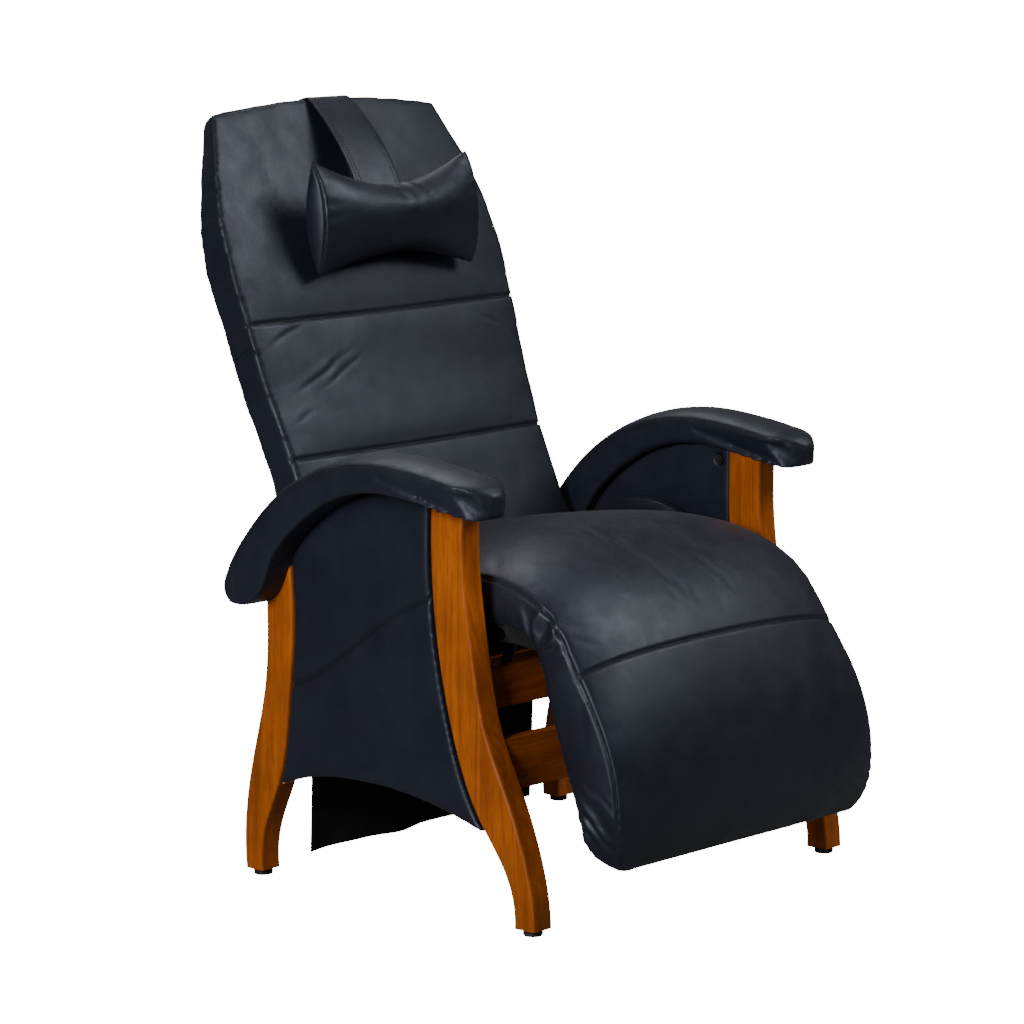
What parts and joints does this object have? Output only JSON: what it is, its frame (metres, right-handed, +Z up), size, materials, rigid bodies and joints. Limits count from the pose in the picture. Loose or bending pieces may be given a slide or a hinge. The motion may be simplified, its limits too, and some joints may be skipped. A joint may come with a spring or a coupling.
{
  "type": "recliner",
  "caption": "Upholstered zero gravity recliner on shaped wooden legs, with a tilting seat, hinged backrest and leg rest, padded arms and a sliding head pillow.",
  "frame": {"origin": "on the floor under the middle of the chair's overall box", "axes": "+Z up, the chair faces -Y, +X towards the sitter's left"},
  "size_m": [0.816, 0.9121, 1.1589],
  "materials": {
    "stained_wood": "satin lacquer over an orange-brown stain",
    "plywood": "raw",
    "black_leather": "soft semi-matt grain",
    "black_steel": "black powder coat",
    "bright_steel": "zinc plated",
    "black_plastic": "moulded",
    "nylon": "natural",
    "skirt_fabric": "black woven dust cover"
  },
  "bodies": {
    "frame": {"front_leg_left": "stained_wood", "front_leg_right": "stained_wood", "rear_leg_left": "stained_wood", "rear_leg_right": "stained_wood", "side_panel_board_left": "plywood", "side_panel_board_right": "plywood", "outer_panel_pad_left": "black_leather", "outer_panel_pad_right": "black_leather", "inner_panel_pad_left": "black_leather", "inner_panel_pad_right": "black_leather", "arm_board_left": "plywood", "arm_board_right": "plywood", "arm_pad_left": "black_leather", "arm_pad_right": "black_leather", "upper_cross_rail": "stained_wood", "lower_cross_rail": "stained_wood", "rear_cross_rail": "stained_wood", "rail_dowels": "plywood", "foot_glides": "black_plastic", "rear_skirt": "skirt_fabric", "skirt_batten": "black_plastic", "skirt_screws": "bright_steel", "pivot_bracket_left": "black_steel", "pivot_bracket_right": "black_steel", "bracket_bolts": "bright_steel", "hub_cover_left": "black_leather", "hub_cover_right": "black_leather", "lock_bracket": "black_steel", "lock_cylinder": "black_steel", "button_bezel": "black_plastic"},
    "button": {"release_button": "black_plastic"},
    "gas_rod": {"lock_rod": "bright_steel", "lock_pin": "bright_steel"},
    "seat": {"seat_side_plate_left": "black_steel", "seat_side_plate_right": "black_steel", "pivot_bushes": "nylon", "seat_front_tube": "black_steel", "seat_rear_tube": "black_steel", "seat_board": "plywood", "seat_cushion": "black_leather", "backrest_pins": "bright_steel", "knee_pins": "bright_steel", "lock_lever": "black_steel"},
    "leg_rest": {"leg_rest_arm_left": "black_steel", "leg_rest_arm_right": "black_steel", "leg_rest_board": "plywood", "leg_cushion": "black_leather"},
    "backrest": {"backrest_lever_left": "black_steel", "backrest_lever_right": "black_steel", "backrest_board": "plywood", "back_cushion": "black_leather", "backrest_cover": "black_leather", "link_pins": "bright_steel", "head_strap": "black_leather"},
    "links": {"backrest_link_left": "black_steel", "backrest_link_right": "black_steel"},
    "pillow": {"head_pillow": "black_leather"},
    "pouch": {"counterweight": "black_leather"}
  },
  "joints": [
    {"name": "seat_tilt", "type": "hinge", "parent": "frame", "child": "seat", "pos_m": [0, 0.02, 0.357], "axis": [-1, 0, 0], "range_deg": [0, 32]},
    {"name": "backrest_recline", "type": "hinge", "parent": "seat", "child": "backrest", "pos_m": [0, 0.155, 0.44], "axis": [-1, 0, 0], "range_deg": [0, 12.8]},
    {"name": "link_swing", "type": "hinge", "parent": "frame", "child": "links", "pos_m": [0, -0.027, 0.345], "axis": [-1, 0, 0], "range_deg": [0, 16]},
    {"name": "leg_rest_swing", "type": "hinge", "parent": "seat", "child": "leg_rest", "pos_m": [0, -0.3, 0.412], "axis": [-1, 0, 0], "range_deg": [0, 25]},
    {"name": "lock_stroke", "type": "slide", "parent": "frame", "child": "gas_rod", "axis": [0, -1, 0], "range_m": [0, 0.042]},
    {"name": "pillow_slide", "type": "slide", "parent": "backrest", "child": "pillow", "axis": [0, 0.3904, 0.9206], "range_m": [-0.06, 0.02]},
    {"name": "pouch_slide", "type": "slide", "parent": "backrest", "child": "pouch", "axis": [0, 0.3018, 0.9534], "range_m": [-0.02, 0.06]},
    {"name": "button_press", "type": "slide", "parent": "frame", "child": "button", "axis": [1, 0, 0], "range_m": [0, 0.003], "stiffness_N_per_m": 400}
  ],
  "couplings": [
    {"joint": "backrest_recline", "follows": "seat_tilt", "ratio": 0.4},
    {"joint": "link_swing", "follows": "seat_tilt", "ratio": 0.4847},
    {"joint": "lock_stroke", "follows": "seat_tilt", "m_per_rad": 0.073932},
    {"joint": "pouch_slide", "follows": "pillow_slide", "ratio": -1}
  ]
}
